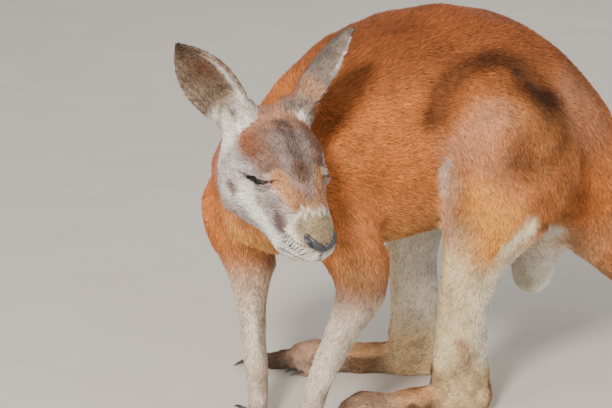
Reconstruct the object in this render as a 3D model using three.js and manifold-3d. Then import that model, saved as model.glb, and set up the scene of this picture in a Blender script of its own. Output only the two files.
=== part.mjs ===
// A male red kangaroo, life size, on all fours with its head turned back over its left side.
// Millimetres, +Z up, standing on Z = 0. The pelvis faces -X and the animal's left side is -Y.
// Flesh is made of unit cylinders wrapped round smooth bone lines, with the girth given at a few stations.
import * as THREE from "three";
import { mergeVertices } from "three/addons/utils/BufferGeometryUtils.js";
import Module from "manifold-3d";

const wasm = await Module();
wasm.setup();

const GAP = 0.3; // clear space between two pieces that meet
const SIDES = { l: -1, r: 1 }; // the sign of Y on the animal's left and right

// ---------- driving dimensions ----------
const LOOKS = {
  coat: { color: 0xa8562a, roughness: 0.95 },
  face: { color: 0x9d8f8a, roughness: 0.92 },
  limb: { color: 0xd2b795, roughness: 0.95 },
  pale: { color: 0xdccfbb, roughness: 0.95 },
  horn: { color: 0x26211f, roughness: 0.45 },
  nose: { color: 0x4a4a4e, roughness: 0.5 },
  eye: { color: 0x1c1410, roughness: 0.12 },
};

// The trunk's line, from the skull to the tail's tip:
// x, y, z of the centre, half width, reach up, reach down.
const BODY = [
  [-124, -182, 424, 40, 40, 42], // 0 in the skull
  [-118, -138, 402, 54, 52, 62], // 1 neck
  [-100, -96, 376, 78, 72, 92], // 2 neck root
  [-58, -60, 358, 100, 98, 116], // 3 shoulders
  [8, -32, 372, 116, 133, 136], // 4 ribs
  [95, -12, 400, 127, 150, 159], // 5 belly
  [185, -2, 411, 130, 146, 150], // 6 loin
  [264, 0, 396, 118, 124, 128], // 7 hips
  [334, 0, 346, 94, 96, 118], // 8 rump
  [388, 0, 280, 75, 78, 88], // 9 tail root
  [444, 0, 215, 60, 62, 66], // 10
  [514, 0, 150, 51, 53, 55], // 11
  [602, 0, 93, 43, 45, 46], // 12
  [705, 0, 53, 36, 38, 38], // 13
  [825, 0, 32, 29, 32, 32.6], // 14 on the floor from here
  [955, 0, 22, 22, 25, 22.6], // 15
  [1075, 0, 12, 11, 12, 12.5], // 16 tip
];
const NECK = [0, 2.2]; // the stations where each length starts and ends
const TRUNK = [2.2, 8.8];
const TAIL_CUTS = [8.8, 10.4, 12, 13.8, 16];

// A hind leg's line, from the top of the thigh to the ankle: x, outward, z, half depth, half width.
const LEG = [
  [206, 88, 474, 50, 34], // 0 top of the thigh
  [210, 98, 440, 84, 50], // 1
  [217, 106, 395, 101, 60], // 2
  [221, 113, 348, 102, 61], // 3 level with the kneecap
  [204, 117, 300, 76, 54], // 4
  [186, 114, 252, 56, 44], // 5 calf
  [174, 107, 200, 41, 36], // 6
  [171, 98, 150, 36, 31], // 7
  [173, 89, 104, 38, 28], // 8
  [175, 82, 62, 43, 26], // 9 ankle
  [176, 78, 26, 46, 25], // 10 in the heel
];
const LEG_BACK = { l: 0, r: -6 }; // how far back each leg stands
const LEG_CUTS = [0, 4.35, 8.7, 10];

// A foot's line, from heel to toe: forward from the heel, height of the centre, half width, up, down.
const FOOT = [
  [10, 26, 20, 24, 27],
  [42, 25, 26, 32, 27],
  [95, 23, 21, 21, 24],
  [148, 22, 23, 20, 23],
  [186, 23, 29, 24, 24],
  [212, 20, 26, 19, 21],
];
const HEELS = { l: { x: 222, y: -77, toeOut: 4 }, r: { x: 206, y: 66, toeOut: 20 } };
// Each toe: how far outward, its turn in degrees, its length and root radius,
// and its claw's length and radius.
const TOES = {
  toe5: { out: 19, turn: 12, back: -10, length: 44, radius: 11.5, claw: 27, horn: 5.6 },
  toe4: { out: 1, turn: 0, back: 0, length: 60, radius: 15.5, claw: 40, horn: 8.2 },
  toe3: { out: -16, turn: -4, back: -24, length: 34, radius: 7.6, claw: 17, horn: 3.6 },
  toe2: { out: -25, turn: -8, back: -29, length: 32, radius: 7.2, claw: 16, horn: 3.6 },
};

// The arms' lines, from the shoulder to the knuckles: x, y, z, half depth, half width.
const ARMS = {
  l: [
    [-34, -98, 372, 44, 34], // 0 shoulder
    [-24, -116, 330, 55, 42], // 1
    [-5, -134, 283, 47, 36], // 2
    [9, -147, 238, 37, 31], // 3 elbow
    [4, -151, 204, 31, 29], // 4
    [-16, -151, 164, 23, 23], // 5
    [-36, -149, 121, 18, 19], // 6
    [-50, -147, 82, 16.5, 18], // 7 wrist
    [-58, -147, 50, 15, 21], // 8 palm
    [-63, -147, 24, 13, 24], // 9 knuckles
  ],
  r: [
    [-92, 6, 352, 34, 30],
    [-117, 2, 308, 51, 40],
    [-120, 3, 276, 44, 36],
    [-106, 2, 236, 35, 31],
    [-101, -1, 204, 30, 28],
    [-101, -6, 164, 23, 22],
    [-100, -12, 121, 18, 19],
    [-98, -20, 82, 16.5, 18],
    [-98, -30, 50, 15, 21],
    [-101, -40, 24, 13, 24],
  ],
};
const ELBOW = { at: [44, 4, -6], reach: 26, height: 13 }; // a point behind and below station 3
const ARM_CUTS = [0, 3.6, 7.3, 9];
const HAND_TURN = { l: 14, r: 30 }; // degrees that each hand is turned outward
const FINGERS = [-44, -22, 0, 21, 42]; // degrees from the middle finger
const FINGER = { length: 34, radius: 7.2, claw: 19, horn: 3.4 };

// The head's own axes run forward, left and up from the point midway between the eyes.
const HEAD = { at: [-115, -250, 410], forward: [0.165, -0.957, -0.237], up: [0.08, -0.226, 0.97] };
// The skull's line, from the nape to the nose: forward, height, half width, up, down.
const SKULL = [
  [-112, 4, 38, 40, 42],
  [-88, 2, 53, 54, 60],
  [-60, -4, 62, 62, 71],
  [-30, -10, 62, 62, 74],
  [0, -16, 51, 53, 69],
  [26, -22, 40, 43, 66],
  [52, -28, 33, 34, 64],
  [75, -33, 27, 28, 51],
  [92, -36, 24, 24, 35],
  [104, -37, 19, 18, 23],
];
const EYE = { at: [9, 33, 2], radius: 14.5 };
const NOSE = { at: [103, 0, -28], half: [12, 17.5, 11.5] };
const EAR = { root: [-78, 34, 38], length: 134, half: 39, thickness: 5, stem: 26 };
const EAR_POSE = {
  l: { along: [-0.06, 0.6, 0.8], opening: [0.15, 0.95, -0.2] },
  r: { along: [-0.1, -0.68, 0.72], opening: [0.93, -0.3, -0.15] },
};

const SCROTUM = [
  [318, 0, 262, 42, 34, 34], // half width is along the body here
  [318, 0, 226, 42, 30, 30],
  [313, 0, 190, 36, 32, 32],
  [308, 0, 162, 29, 30, 30],
];

// ---------- flesh ----------
const vec = (p) => new THREE.Vector3(...p);
const mix = THREE.MathUtils.lerp;
const rad = THREE.MathUtils.degToRad;
const UP = new THREE.Vector3(0, 0, 1);

// A bone line: its path, its girth (across, above, below) and the direction that lies across it.
function boneLine(stations, across) {
  return {
    path: new THREE.CatmullRomCurve3(stations.map((s) => vec(s.slice(0, 3)))),
    girth: new THREE.CatmullRomCurve3(stations.map((s) => vec(s.slice(3, 6)))),
    across,
    last: stations.length - 1,
  };
}

// The section at station t: its centre, its axes and its girth.
function sectionAt(line, t) {
  const along = line.path.getTangent(t / line.last);
  const hint = line.across ? vec(line.across) : new THREE.Vector3().crossVectors(UP, along);
  const across = hint.addScaledVector(along, -hint.dot(along)).normalize();
  const above = new THREE.Vector3().crossVectors(along, across);
  const centre = line.path.getPoint(t / line.last);
  return { centre, along, across, above, girth: line.girth.getPoint(t / line.last) };
}

// Where each ring of a length of flesh lies: its station, how far past it, and its scale.
function ringsOf({ from, to, along, domes, domeRings, grow }) {
  const dome = (t, length, sign) =>
    Array.from({ length: domeRings }, (_, i) => {
      const angle = ((i + 1) / (domeRings + 0.4)) * (Math.PI / 2);
      return { t, past: sign * length * Math.sin(angle), scale: Math.cos(angle) };
    });
  const atStart = (i) => i === 0 && !domes[0];
  const atEnd = (i) => i === along && !domes[1];
  const inset = (i) => (GAP / 2 - grow) * (Number(atStart(i)) - Number(atEnd(i)));
  const ring = (_, i) => ({ t: mix(from, to, i / along), past: inset(i), scale: 1 });
  const rings = Array.from({ length: along + 1 }, ring);
  if (domes[0]) rings.unshift(...dome(from, domes[0] + grow, -1).reverse());
  if (domes[1]) rings.push(...dome(to, domes[1] + grow, 1));
  return rings;
}

// A unit cylinder wrapped on a bone line. Its ends are flat, or domes of the lengths given.
function flesh(line, options = {}) {
  const defaults = { from: 0, to: line.last, around: 14, along: 8, squareness: 2, bumps: [] };
  Object.assign(defaults, { domes: [0, 0], domeRings: 2, grow: 0 });
  const shape = { ...defaults, ...options };
  const rings = ringsOf(shape);
  const geometry = new THREE.CylinderGeometry(1, 1, 1, shape.around, rings.length - 1);
  const position = geometry.getAttribute("position");
  const bend = (v) => Math.sign(v) * Math.abs(v) ** (2 / shape.squareness);
  for (let i = 0; i < position.count; i++) {
    const { t, past, scale } = rings[Math.round((position.getY(i) + 0.5) * (rings.length - 1))];
    const { centre, along, across, above, girth } = sectionAt(line, t);
    const point = centre.addScaledVector(along, past);
    const onAxis = Math.hypot(position.getX(i), position.getZ(i)) < 0.5;
    if (!onAxis) {
      const angle = Math.atan2(position.getZ(i), position.getX(i));
      const rise = Math.sin(angle) > 0 ? girth.y : girth.z;
      const out = across.multiplyScalar(bend(Math.cos(angle)) * (girth.x + shape.grow));
      out.addScaledVector(above, bend(Math.sin(angle)) * (rise + shape.grow));
      point.addScaledVector(out, scale);
      out.normalize();
      for (const { at, reach, height } of shape.bumps)
        point.addScaledVector(out, height * Math.exp(-((point.distanceTo(vec(at)) / reach) ** 2)));
    }
    position.setXYZ(i, point.x, point.y, point.z);
  }
  return geometry;
}

// ---------- solids ----------
function solidOf(geometry) {
  const bare = geometry.clone();
  bare.deleteAttribute("normal");
  bare.deleteAttribute("uv");
  const merged = mergeVertices(bare, 1e-3);
  const vertProperties = new Float32Array(merged.attributes.position.array);
  const triVerts = new Uint32Array(merged.index.array);
  const solid = () => new wasm.Manifold(new wasm.Mesh({ numProp: 3, vertProperties, triVerts }));
  if (solid().volume() > 0) return solid();
  for (let i = 0; i < triVerts.length; i += 3) {
    const second = triVerts[i + 1];
    triVerts[i + 1] = triVerts[i + 2];
    triVerts[i + 2] = second;
  }
  return solid();
}

function geometryOf(solid) {
  const mesh = solid.getMesh();
  const points = Array.from({ length: mesh.numVert }, (_, i) =>
    Array.from(mesh.vertProperties.subarray(i * mesh.numProp, i * mesh.numProp + 3)),
  );
  const geometry = new THREE.BufferGeometry();
  geometry.setAttribute("position", new THREE.Float32BufferAttribute(points.flat(), 3));
  geometry.setIndex(Array.from(mesh.triVerts));
  geometry.computeVertexNormals();
  return geometry;
}

const fleshSolid = (line, options) => solidOf(flesh(line, options));
const mainBody = (solid) => solid.decompose().sort((a, b) => b.volume() - a.volume())[0];
const underFloor = solidOf(new THREE.BoxGeometry(4000, 2000, 400).translate(0, 0, -200));
const onFloor = (solid) => mainBody(solid.subtract(underFloor));

const group = new THREE.Group();
function add(name, solid, look) {
  const mesh = new THREE.Mesh(geometryOf(solid), new THREE.MeshStandardMaterial(LOOKS[look]));
  mesh.name = name;
  group.add(mesh);
}

// ---------- head ----------
const forward = vec(HEAD.forward).normalize();
const crown = vec(HEAD.up).addScaledVector(forward, -forward.dot(vec(HEAD.up))).normalize();
const leftward = new THREE.Vector3().crossVectors(crown, forward);
const headFrame = new THREE.Matrix4().makeBasis(forward, leftward, crown).setPosition(vec(HEAD.at));
const mirrored = ([x, y, z]) => [[x, y, z], [x, -y, z]];
const headSolid = (geometry) => solidOf(geometry.applyMatrix4(headFrame));

const skullLine = boneLine(SKULL.map(([x, z, ...girth]) => [x, 0, z, ...girth]), [0, 1, 0]);
const skullBumps = [
  ...mirrored([8, 44, 4]).map((at) => ({ at, reach: 19, height: -5 })), // eye sockets
  ...mirrored([4, 38, 28]).map((at) => ({ at, reach: 17, height: 3.5 })), // brows
  ...mirrored([12, 42, -26]).map((at) => ({ at, reach: 22, height: 3 })), // cheekbones
  ...mirrored([-44, 52, -46]).map((at) => ({ at, reach: 36, height: 12 })), // jaw muscles
  ...mirrored([84, 24, -46]).map((at) => ({ at, reach: 20, height: 4 })), // whisker pads
  ...mirrored([46, 26, -74]).map((at) => ({ at, reach: 20, height: 4 })), // corners of the mouth
];
const skullShape = { around: 20, along: 12, domes: [20, 8], squareness: 2.15, bumps: skullBumps };
const skull = (grow) => headSolid(flesh(skullLine, { ...skullShape, grow }));

const ball = (half, at, grow, segments) =>
  new THREE.SphereGeometry(1, ...segments)
    .scale(...half.map((h) => h + grow))
    .translate(...at);
const nosePad = (grow) => headSolid(ball(NOSE.half, NOSE.at, grow, [8, 6]));
const eyeball = (side, grow) =>
  headSolid(ball(Array(3).fill(EYE.radius), [EYE.at[0], -side * EYE.at[1], EYE.at[2]], grow, [10, 6]));

// An ear: a leaf curled round its long axis, on a stem that reaches into the skull.
function ear(side) {
  const pose = EAR_POSE[side];
  const root = vec([EAR.root[0], -SIDES[side] * EAR.root[1], EAR.root[2]]);
  const along = vec(pose.along).normalize();
  const opening = vec(pose.opening);
  opening.addScaledVector(along, -opening.dot(along)).normalize();
  const across = new THREE.Vector3().crossVectors(along, opening);
  const leaf = new THREE.BoxGeometry(1, 1, 1, 6, 8, 1);
  const position = leaf.getAttribute("position");
  for (let i = 0; i < position.count; i++) {
    const u = position.getX(i) * 2;
    const v = position.getY(i) + 0.5;
    const half = EAR.half * Math.max(0.1, Math.sin(Math.PI * (0.3 + 0.7 * v) ** 1.25) ** 0.72);
    const curl = mix(1.6, 0.62, v ** 0.6);
    const radius = half / curl;
    const thick = position.getZ(i) * EAR.thickness * (1 - 0.45 * u * u);
    const a = curl * u;
    const point = root.clone().addScaledVector(along, EAR.length * (v * 0.93 + 0.07) - 4 * u * u * (1 - v));
    point.addScaledVector(across, (radius - thick) * Math.sin(a));
    point.addScaledVector(opening, radius - (radius - thick) * Math.cos(a) - half * 0.45 - 9 * v * v);
    position.setXYZ(i, point.x, point.y, point.z);
  }
  const stem = boneLine(
    [-22, 0, 14, 28].map((d, i) => [
      ...root.clone().addScaledVector(along, d).toArray(),
      ...Array(3).fill(EAR.stem * [0.9, 1.08, 1, 0.6][i]),
    ]),
    across.toArray(),
  );
  return headSolid(leaf).add(headSolid(flesh(stem, { around: 8, along: 2, domes: [0, 8], domeRings: 1 })));
}

const eyes = Object.values(SIDES).map((side) => eyeball(side, GAP));
const head = eyes.reduce((solid, eye) => solid.subtract(eye), skull(0)).subtract(nosePad(GAP));
const roundHead = skull(GAP);
add("head", mainBody(head), "face");
add("nose_pad", nosePad(0), "nose");
for (const [side, sign] of Object.entries(SIDES)) {
  add(`eye_${side}`, eyeball(sign, 0), "eye");
  add(`ear_${side}`, mainBody(ear(side).subtract(roundHead)), "face");
}

// ---------- the body's line ----------
const bodyLine = boneLine(BODY);
const bodyLength = ([from, to], options) =>
  fleshSolid(bodyLine, { from, to, around: 18, squareness: 2.1, ...options });
// ---------- hind legs ----------
const legLine = (side) =>
  boneLine(
    LEG.map(([x, out, z, depth, width]) => [x + LEG_BACK[side], SIDES[side] * out, z, depth, width, width]),
    [-1, 0, 0],
  );
const legLength = (side, piece, options) =>
  fleshSolid(legLine(side), { from: LEG_CUTS[piece], to: LEG_CUTS[piece + 1], ...options });
const shank = (side, grow) => legLength(side, 1, { along: 6, grow });
const thigh = (side, grow) => legLength(side, 0, { along: 6, domes: [22, 0], squareness: 2.2, grow });

// A digit lying on the floor: its flesh, and its claw rooted in the tip.
function digit(frame, { length, radius, claw, horn }) {
  const tipRadius = radius * 0.78;
  const finger = boneLine(
    [
      [0, 0, radius * 1.25, radius, radius, radius * 1.45],
      [length * 0.55, 0, radius * 0.98, radius * 0.96, radius, radius * 1.2],
      [length, 0, tipRadius, tipRadius, tipRadius, tipRadius * 1.2],
    ],
    [0, 1, 0],
  );
  const rise = tipRadius * 1.15;
  const reach = length + radius * 0.5 + claw;
  const hornLine = boneLine(
    [
      [length - radius * 0.7, 0, rise, horn * 0.8, horn * 0.8, horn * 0.8],
      [length + radius * 0.4, 0, rise, horn, horn, horn],
      [mix(length, reach, 0.65), 0, rise * 0.78, horn * 0.62, horn * 0.66, horn * 0.62],
      [reach, 0, 1.2, 0.7, 0.7, 0.7],
    ],
    [0, 1, 0],
  );
  const placed = (line, options) => solidOf(flesh(line, options).applyMatrix4(frame));
  const fingerShape = { around: 6, along: 1, domeRings: 1, squareness: 2.4 };
  return {
    flesh: placed(finger, { ...fingerShape, domes: [0, tipRadius * 0.7] }),
    claw: (grow) => placed(hornLine, { around: 5, along: 2, grow }),
  };
}

const turned = (x, y, degrees) => new THREE.Matrix4().makeRotationZ(rad(degrees)).setPosition(x, y, 0);

function foot(side) {
  const sign = SIDES[side];
  const heel = HEELS[side];
  const frame = turned(heel.x, heel.y, 180 - sign * heel.toeOut);
  const sole = boneLine(FOOT.map(([x, z, ...girth]) => [x, 0, z, ...girth]), [0, 1, 0]);
  const instepShape = { around: 10, along: 5, domes: [12, 12], domeRings: 1, squareness: 2.4 };
  const instep = solidOf(flesh(sole, instepShape).applyMatrix4(frame));
  const ankle = legLength(side, 2, { around: 10, along: 1, domes: [0, 16], domeRings: 1 });
  const last = FOOT[FOOT.length - 1][0];
  const toes = Object.entries(TOES).map(([name, toe]) => {
    const local = turned(last - 12 + toe.back, -sign * toe.out, -sign * toe.turn);
    return { name, ...digit(frame.clone().multiply(local), toe) };
  });
  let solid = ankle.add(instep);
  for (const toe of toes) solid = solid.add(toe.flesh);
  for (const toe of toes) solid = solid.subtract(toe.claw(GAP));
  add(`foot_${side}`, onFloor(solid), "limb");
  for (const toe of toes) add(`claw_${toe.name}_${side}`, onFloor(toe.claw(0)), "horn");
}

for (const side of Object.keys(SIDES)) {
  add(`thigh_${side}`, thigh(side, 0), "coat");
  add(`shank_${side}`, shank(side, 0), "limb");
  foot(side);
}

// ---------- arms ----------
const armLine = (side) =>
  boneLine(ARMS[side].map(([x, y, z, depth, width]) => [x, y, z, depth, width, width]), [-1, 0, 0]);
function armLength(side, piece, options) {
  const [x, y, z] = ARMS[side][3];
  const elbow = { ...ELBOW, at: [x + ELBOW.at[0], y, z + ELBOW.at[2]] };
  const ends = { from: ARM_CUTS[piece], to: ARM_CUTS[piece + 1] };
  return fleshSolid(armLine(side), { ...ends, bumps: [elbow], ...options });
}
const upperArm = (side, grow) => armLength(side, 0, { around: 14, along: 5, domes: [22, 0], grow });

function hand(side) {
  const sign = SIDES[side];
  const [x, y] = ARMS[side][9];
  const frame = turned(x, y, 180 - sign * HAND_TURN[side]);
  const fingers = FINGERS.map((spread, i) => {
    const local = turned(0, 0, spread).multiply(new THREE.Matrix4().makeTranslation(9, 0, 0));
    return { name: `finger${i + 1}`, ...digit(frame.clone().multiply(local), FINGER) };
  });
  let solid = armLength(side, 2, { around: 9, along: 2, domes: [0, 14], domeRings: 1 });
  for (const finger of fingers) solid = solid.add(finger.flesh);
  for (const finger of fingers) solid = solid.subtract(finger.claw(GAP));
  add(`hand_${side}`, onFloor(solid), "limb");
  for (const finger of fingers) add(`claw_${finger.name}_${side}`, onFloor(finger.claw(0)), "horn");
}

for (const side of Object.keys(SIDES)) {
  add(`upper_arm_${side}`, upperArm(side, 0), "coat");
  add(`forearm_${side}`, armLength(side, 1, { around: 12, along: 5 }), "limb");
  hand(side);
}

// ---------- neck, trunk and tail, hollowed where the head and the limbs lie in them ----------
const limbs = Object.keys(SIDES).flatMap((side) => [thigh(side, GAP), shank(side, GAP), upperArm(side, GAP)]);
const clearOf = (solid, others) => mainBody(others.reduce((rest, other) => rest.subtract(other), solid));

const neck = bodyLength(NECK, { along: 4, domes: [8, 0], domeRings: 1 });
add("neck", clearOf(neck, [roundHead, ...limbs]), "coat");

const trunk = (grow) => bodyLength(TRUNK, { along: 11, grow });
add("trunk", clearOf(trunk(0), limbs), "coat");

const TAIL_NAMES = ["tail_root", "tail_upper", "tail_lower", "tail_tip"];
function tail(piece, grow) {
  const tip = piece === TAIL_NAMES.length - 1 ? 10 : 0;
  const shape = { around: 12, along: 4, domes: [0, tip], domeRings: 1 };
  return bodyLength(TAIL_CUTS.slice(piece, piece + 2), { ...shape, grow });
}
TAIL_NAMES.forEach((name, piece) => add(name, onFloor(clearOf(tail(piece, 0), limbs)), "coat"));

const scrotum = fleshSolid(boneLine(SCROTUM, [1, 0, 0]), { around: 12, along: 2, domes: [6, 24] });
add("scrotum", clearOf(scrotum, [trunk(GAP), tail(0, GAP), ...limbs]), "pale");

// The origin is below the middle of the object's box.
const middle = new THREE.Box3().setFromObject(group).getCenter(new THREE.Vector3());
group.position.set(-middle.x, -middle.y, 0);

export default group;
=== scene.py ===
import math

import bmesh
import bpy
import numpy as np
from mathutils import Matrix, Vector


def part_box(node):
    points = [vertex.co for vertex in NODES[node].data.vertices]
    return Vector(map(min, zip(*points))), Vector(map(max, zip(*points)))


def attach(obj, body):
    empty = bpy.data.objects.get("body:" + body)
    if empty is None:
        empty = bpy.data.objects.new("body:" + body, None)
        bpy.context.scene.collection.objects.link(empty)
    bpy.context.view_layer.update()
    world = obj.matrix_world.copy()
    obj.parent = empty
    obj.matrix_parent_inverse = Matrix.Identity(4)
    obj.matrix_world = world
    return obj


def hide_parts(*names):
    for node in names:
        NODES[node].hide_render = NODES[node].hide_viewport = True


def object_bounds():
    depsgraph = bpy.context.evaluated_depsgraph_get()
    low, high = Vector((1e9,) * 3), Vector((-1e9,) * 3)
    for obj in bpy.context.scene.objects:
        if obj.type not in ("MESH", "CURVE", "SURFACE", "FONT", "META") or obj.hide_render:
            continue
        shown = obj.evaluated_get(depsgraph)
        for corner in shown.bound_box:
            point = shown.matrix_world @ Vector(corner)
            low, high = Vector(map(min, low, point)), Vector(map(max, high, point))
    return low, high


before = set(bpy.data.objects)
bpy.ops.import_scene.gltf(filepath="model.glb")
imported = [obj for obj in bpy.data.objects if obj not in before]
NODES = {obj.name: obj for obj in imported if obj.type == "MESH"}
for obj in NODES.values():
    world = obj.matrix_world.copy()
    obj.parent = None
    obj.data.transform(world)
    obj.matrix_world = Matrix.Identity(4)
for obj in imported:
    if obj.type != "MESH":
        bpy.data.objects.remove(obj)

import openvdb
from mathutils import Vector

CAD_BOX = [list(corner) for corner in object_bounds()]
FLESH = [name for name in NODES if not name.startswith(("claw", "eye", "nose"))]
CLAWS = [name for name in NODES if name.startswith("claw")]
RNG = np.random.default_rng(11)
SKIN_GAP = 0.0002        # the least height of the skin over the floor, in metres
HAIR_GAP = 0.0003        # the least height of the hair
CLAW_POINT = 0.0002      # half the thickness of a claw at its point


# ---------- points and directions ----------
def unit(v):
    return v / np.maximum(np.linalg.norm(v, axis=-1, keepdims=True), 1e-12)


def dot(a, b):
    return (a * b).sum(-1)


def ramp(low, high, x):
    """0 at the low end, rising smoothly to 1 at the high one."""
    t = np.clip((x - low) / (high - low), 0.0, 1.0)
    return t * t * (3.0 - 2.0 * t)


def hump(x, width):
    """1 where x is 0, and fading on both sides of it over the width."""
    return np.exp(-(x / width) ** 2)


def near(p, centre, radius):
    """1 at the centre, falling smoothly to 0 at the radius (a number, or one per axis)."""
    return ramp(1.0, 0.0, np.linalg.norm((p - np.array(centre)) / radius, axis=-1))


def box_of(node):
    low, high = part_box(node)
    return np.array(low), np.array(high)


def middle(node):
    low, high = box_of(node)
    return (low + high) / 2


# The head's own axes, from its eyes: forward, left, up, in millimetres from a point between them.
LEFT = unit(middle("eye_l") - middle("eye_r"))
FORWARD = np.array([0.165, -0.957, -0.237])
FORWARD = unit(FORWARD - dot(FORWARD, LEFT) * LEFT)
CROWN = np.cross(FORWARD, LEFT)
AXES = np.array([FORWARD, LEFT, CROWN])
HEAD = (middle("eye_l") + middle("eye_r")) / 2 - 0.009 * FORWARD - 0.002 * CROWN
ORIGIN = HEAD - np.array([-0.115, -0.250, 0.410])


def to_head(p):
    return (p - HEAD) @ AXES.T * 1000


def from_head(q):
    return HEAD + (np.asarray(q, float) / 1000) @ AXES


def turn_from_head(v):
    return unit(np.asarray(v, float) @ AXES)


def at(x, y, z):
    """A place on the body, in millimetres along its own axes."""
    return ORIGIN + np.array([x, y, z]) / 1000


# ---------- meshes ----------
def placed(name, data):
    thing = bpy.data.objects.new(name, data)
    bpy.context.scene.collection.objects.link(thing)
    return thing


def mesh_piece(name, points, faces):
    """A mesh object from arrays: faces is an (n, 3) or (n, 4) array."""
    mesh = bpy.data.meshes.new(name)
    count, sides = faces.shape
    mesh.vertices.add(len(points))
    mesh.vertices.foreach_set("co", np.ascontiguousarray(points, np.float32).ravel())
    mesh.loops.add(count * sides)
    mesh.loops.foreach_set("vertex_index", np.ascontiguousarray(faces, np.int32).ravel())
    mesh.polygons.add(count)
    mesh.polygons.foreach_set("loop_start", np.arange(0, count * sides, sides, dtype=np.int32))
    mesh.update(calc_edges=True)
    mesh.shade_smooth()
    return placed(name, mesh)


def points_of(mesh):
    out = np.empty(len(mesh.vertices) * 3, np.float32)
    mesh.vertices.foreach_get("co", out)
    return out.reshape(-1, 3).astype(float)


def triangles_of(mesh):
    mesh.calc_loop_triangles()
    out = np.empty(len(mesh.loop_triangles) * 3, np.int32)
    mesh.loop_triangles.foreach_get("vertices", out)
    return out.reshape(-1, 3)


def sum_at(index, values, count):
    return np.stack([np.bincount(index, values[:, k], count) for k in range(values.shape[1])], 1)


def normals_of(points, triangles):
    a, b, c = (points[triangles[:, i]] for i in range(3))
    face = np.cross(b - a, c - a)
    return unit(sum(sum_at(triangles[:, i], face, len(points)) for i in range(3)))


class Web:
    """The edges of a mesh, for evening out what its points carry."""

    def __init__(self, triangles, count):
        pairs = np.concatenate([triangles[:, [0, 1]], triangles[:, [1, 2]], triangles[:, [2, 0]]])
        self.tail, self.head = np.concatenate([pairs, pairs[:, ::-1]]).T
        self.count = count
        self.degree = np.maximum(np.bincount(self.tail, minlength=count), 1)[:, None]

    def even(self, values, rounds, share=1.0):
        flat = values.reshape(self.count, -1)
        share = np.reshape(share, (-1, 1)) * np.ones((self.count, 1))
        for _ in range(rounds):
            flat = flat + share * (sum_at(self.tail, flat[self.head], self.count) / self.degree - flat)
        return flat.reshape(values.shape)


# ---------- the skin's surface ----------
VOXEL = 0.0025           # the grid's pitch, in metres as the lengths below
MARGIN = 8               # how many voxels of air lie round a node
UNDER = 0.0008           # how far the first skin lies under the flesh's surface
SKIN_SHARE = 0.31        # the share of the body's faces that are kept
REACH = 3 * VOXEL        # how far from the surface distances are worked out
WIDE = 8 * VOXEL         # the same for the broad nodes
CLOSE = 0.0005           # half the width of the clefts that are closed between nodes
FILL = 0.014             # the same between the broad nodes
EAR_GAIN = 0.0012        # what an ear's leaf gains on each face
BROAD = ("trunk", "neck", "thigh", "upper_arm", "tail_root")


def distance_grid(points, faces, reach=REACH):
    corners = {"triangles" if faces.shape[1] == 3 else "quads": faces.astype(np.uint32)}
    return openvdb.FloatGrid.createLevelSetFromPolygons(
        points.astype(np.float32), transform=openvdb.createLinearTransform(VOXEL),
        halfWidth=reach / VOXEL, **corners)


def surface_at(field, low, level):
    """The points and quads of a field's surface at one level."""
    grid = openvdb.FloatGrid(float(field.max()))
    grid.transform = openvdb.createLinearTransform(VOXEL)
    grid.copyFromArray(field, ijk=tuple(int(i) for i in low))
    points, quads = grid.convertToQuads(isovalue=level)
    return points.astype(float), quads.astype(int)


def voxel_box(corners):
    """The first and last voxel of a box, with air round it."""
    low, high = np.array(corners) / VOXEL
    return np.floor(low).astype(int) - MARGIN, np.ceil(high).astype(int) + MARGIN


def flesh_surface():
    """One closed surface a little inside the nodes of flesh, and which node each point lies in."""
    low, high = voxel_box(CAD_BOX)
    field = np.full(high - low, REACH, np.float32)
    broad = np.full(high - low, WIDE, np.float32)
    owner = np.zeros(high - low, np.uint8)
    for index, name in enumerate(FLESH + ["eye_l", "eye_r", "nose_pad"]):
        mesh = NODES[name].data
        reach = WIDE if name.startswith(BROAD) else REACH
        grid = distance_grid(points_of(mesh), triangles_of(mesh), reach)
        a, b = voxel_box(box_of(name))
        part = np.empty(b - a, np.float32)
        grid.copyToArray(part, ijk=tuple(int(i) for i in a))
        if name.startswith("ear"):
            part -= EAR_GAIN
        window = tuple(slice(i, j) for i, j in zip(a - low, b - low))
        closer = part < field[window]
        field[window][closer] = part[closer]
        owner[window][closer] = index if index < len(FLESH) else FLESH.index("head")
        if reach == WIDE:
            np.minimum(broad[window], part, out=broad[window])
    ijk = tuple(int(i) for i in low)
    distance_grid(*surface_at(field, low, CLOSE)).copyToArray(field, ijk=ijk)
    distance_grid(*surface_at(broad, low, FILL), WIDE).copyToArray(broad, ijk=ijk)
    np.minimum(field + np.float32(CLOSE), broad + np.float32(FILL), out=field)
    np.clip(field, -REACH, REACH, out=field)
    points, quads = surface_at(field, low, -UNDER)

    def owner_of(p):
        i = np.clip(np.rint(p / VOXEL).astype(int) - low, 0, np.array(field.shape) - 1)
        return owner[i[:, 0], i[:, 1], i[:, 2]]

    def outside(p):
        """How far each place lies outside the flesh's surface, as its nodes give it."""
        g = p / VOXEL - low
        i = np.clip(np.floor(g).astype(int), 0, np.array(field.shape) - 2)
        total = 0
        for corner in np.ndindex(2, 2, 2):
            share = np.prod(np.where(corner, g - i, 1 - (g - i)), axis=1)
            total = total + share * field[tuple((i + corner).T)]
        return total

    return points, quads, owner_of, outside


def outer_shell(points, triangles):
    """The largest shell alone, without any small hollow left between two nodes."""
    label = np.arange(len(points))
    pairs = np.concatenate([triangles[:, [0, 1]], triangles[:, [1, 2]]])
    while True:
        least = np.minimum(label[pairs[:, 0]], label[pairs[:, 1]])
        fresh = label.copy()
        np.minimum.at(fresh, pairs[:, 0], least)
        np.minimum.at(fresh, pairs[:, 1], least)
        fresh = fresh[fresh]
        if (fresh == label).all():
            break
        label = fresh
    keep = label == np.bincount(label).argmax()
    index = np.cumsum(keep) - 1
    return points[keep], index[triangles[keep[triangles[:, 0]]]]


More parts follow.
